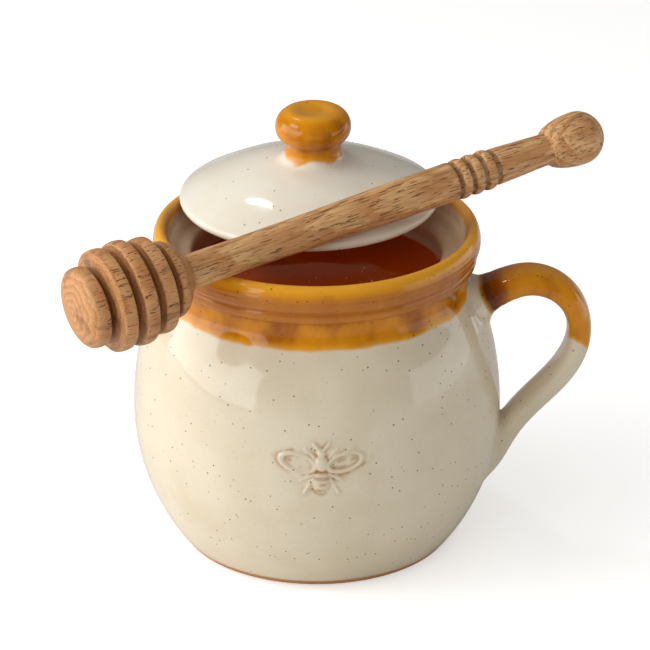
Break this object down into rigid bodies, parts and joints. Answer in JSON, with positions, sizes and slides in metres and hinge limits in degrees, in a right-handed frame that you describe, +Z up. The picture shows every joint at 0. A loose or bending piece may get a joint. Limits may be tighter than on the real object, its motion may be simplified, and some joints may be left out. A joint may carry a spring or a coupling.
{
  "type": "ceramic honey pot",
  "caption": "Round glazed stoneware honey pot with one side handle, domed lid laid back on the rim, honey inside and a turned wooden dipper across the top.",
  "frame": {"origin": "centre of the pot's flat foot, on the pot's own axis; the pot stands on the plane z = 0", "axes": "+Z up along the pot's axis, +X towards the handle, +Y towards the back, where the lid lies on the rim"},
  "size_m": [0.1487, 0.1208, 0.1217],
  "materials": {
    "pot_glaze": "glossy cream glaze with iron specks, amber over the rim, collar and upper handle, bare clay at the foot",
    "lid_glaze": "glossy cream glaze with iron specks, amber over the knob",
    "honey": null,
    "dipper_wood": "bare turned hardwood, fine open grain"
  },
  "bodies": {
    "root": {"pot": "pot_glaze", "lid": "lid_glaze", "honey": "honey", "dipper": "dipper_wood"}
  },
  "joints": []
}
